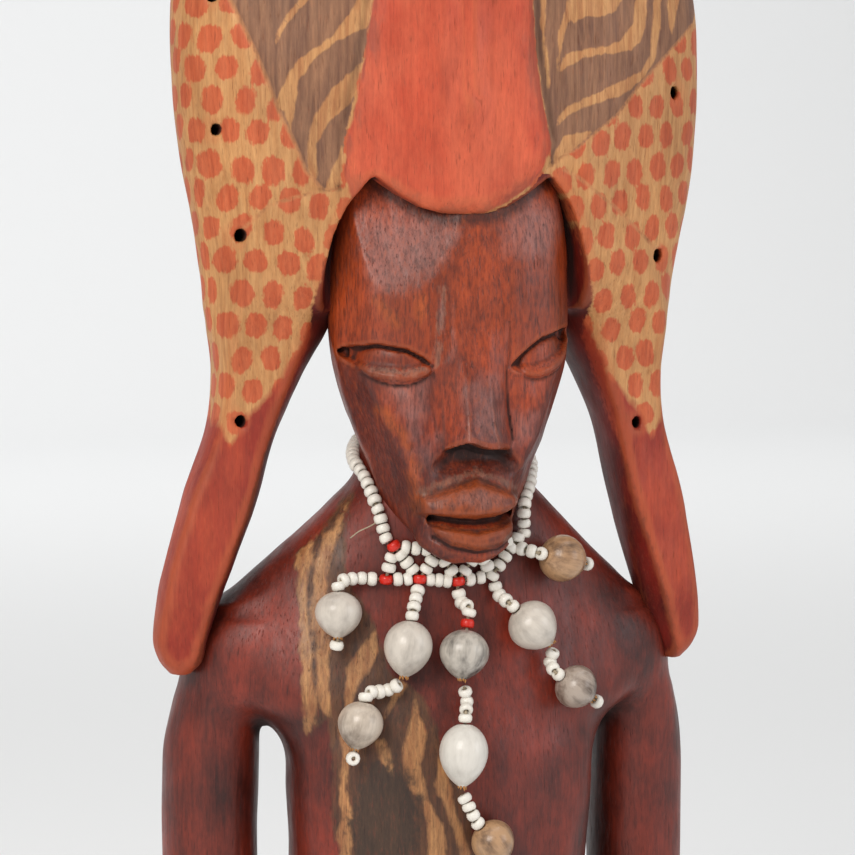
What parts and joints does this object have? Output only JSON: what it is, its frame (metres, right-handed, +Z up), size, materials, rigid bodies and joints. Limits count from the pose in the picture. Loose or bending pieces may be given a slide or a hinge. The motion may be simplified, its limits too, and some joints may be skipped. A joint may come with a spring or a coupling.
{
  "type": "carved figure",
  "caption": "Carved and painted wooden half figure with a long face, a tall banded headdress and ear lobes reaching the shoulders, wearing a bead necklace with hanging seed drops.",
  "frame": {"origin": "middle of the flat underside of the plinth", "axes": "+Z up, the figure faces -Y, +X is the right-hand side of somebody looking at its face"},
  "size_m": [0.1044, 0.0764, 0.29],
  "materials": {
    "carved_wood": "stained, painted and waxed",
    "white_bead": "opaque glass, satin",
    "red_bead": "opaque glass, satin",
    "seed": "smooth, slightly polished seed husk"
  },
  "bodies": {
    "figure": {"carved_figure": "carved_wood", "neck_strand": "white_bead", "knot_bead_red_1": "red_bead", "knot_bead_red_2": "red_bead", "knot_bead_red_3": "red_bead", "knot_bead_red_4": "red_bead", "knot_bead_white_1": "white_bead", "knot_bead_white_2": "white_bead", "knot_bead_white_3": "white_bead", "knot_bead_white_4": "white_bead", "net_strand_1": "white_bead", "net_strand_2": "white_bead", "net_strand_3": "white_bead", "net_strand_4": "white_bead", "net_strand_5": "white_bead", "net_strand_6": "white_bead", "net_strand_7": "white_bead", "net_strand_8": "white_bead", "net_strand_9": "white_bead", "net_strand_10": "white_bead", "net_strand_11": "white_bead", "net_strand_12": "white_bead", "net_strand_13": "white_bead"},
    "drop_1": {"drop_1_link_1_strand": "white_bead", "drop_1_link_1_seed": "seed", "drop_1_end_bead": "white_bead"},
    "drop_2_upper": {"drop_2_link_1_strand": "white_bead", "drop_2_link_1_seed": "seed"},
    "drop_2_lower": {"drop_2_link_2_strand": "white_bead", "drop_2_link_2_seed": "seed", "drop_2_end_bead": "white_bead"},
    "drop_3_upper": {"drop_3_link_1_strand": "white_bead", "drop_3_link_1_seed": "seed", "drop_3_red_bead": "red_bead"},
    "drop_3_middle": {"drop_3_link_2_strand": "white_bead", "drop_3_link_2_seed": "seed"},
    "drop_3_lower": {"drop_3_link_3_strand": "white_bead", "drop_3_link_3_seed": "seed", "drop_3_end_bead": "white_bead"},
    "drop_4_upper": {"drop_4_link_1_strand": "white_bead", "drop_4_link_1_seed": "seed"},
    "drop_4_lower": {"drop_4_link_2_strand": "white_bead", "drop_4_link_2_seed": "seed", "drop_4_end_bead": "white_bead"},
    "drop_5": {"drop_5_link_1_strand": "white_bead", "drop_5_link_1_seed": "seed", "drop_5_end_bead": "white_bead"}
  },
  "joints": [
    {"name": "drop_1_swing", "type": "hinge", "parent": "figure", "child": "drop_1", "pos_m": [-0.01658, -0.02098, 0.14702], "axis": [-0.8594, 0.2596, 0.4405], "range_deg": [0, 50]},
    {"name": "drop_2_upper_swing", "type": "hinge", "parent": "figure", "child": "drop_2_upper", "pos_m": [-0.00782, -0.02325, 0.14412], "axis": [-0.9728, 0.1166, 0.2], "range_deg": [0, 50]},
    {"name": "drop_2_lower_swing", "type": "hinge", "parent": "drop_2_upper", "child": "drop_2_lower", "pos_m": [-0.01286, -0.02657, 0.12763], "axis": [-0.803, 0.2328, 0.5487], "range_deg": [0, 35]},
    {"name": "drop_3_upper_swing", "type": "hinge", "parent": "figure", "child": "drop_3_upper", "pos_m": [0.00014, -0.02344, 0.14328], "axis": [-0.9979, 0.0054, 0.065], "range_deg": [0, 50]},
    {"name": "drop_3_middle_swing", "type": "hinge", "parent": "drop_3_upper", "child": "drop_3_middle", "pos_m": [0.00017, -0.02801, 0.12619], "axis": [-0.9944, 0.0247, 0.1032], "range_deg": [0, 35]},
    {"name": "drop_3_lower_swing", "type": "hinge", "parent": "drop_3_middle", "child": "drop_3_lower", "pos_m": [-0.00083, -0.03156, 0.10716], "axis": [-0.815, -0.0204, -0.5791], "range_deg": [0, 30]},
    {"name": "drop_4_upper_swing", "type": "hinge", "parent": "figure", "child": "drop_4_upper", "pos_m": [0.00738, -0.02297, 0.14448], "axis": [-0.7218, -0.084, -0.687], "range_deg": [0, 50]},
    {"name": "drop_4_lower_swing", "type": "hinge", "parent": "drop_4_upper", "child": "drop_4_lower", "pos_m": [0.01761, -0.02484, 0.1322], "axis": [-0.7028, -0.2967, -0.6466], "range_deg": [0, 35]},
    {"name": "drop_5_swing", "type": "hinge", "parent": "figure", "child": "drop_5", "pos_m": [0.01212, -0.02279, 0.15143], "axis": [-0.1962, -0.0616, -0.9786], "range_deg": [0, 50]}
  ]
}
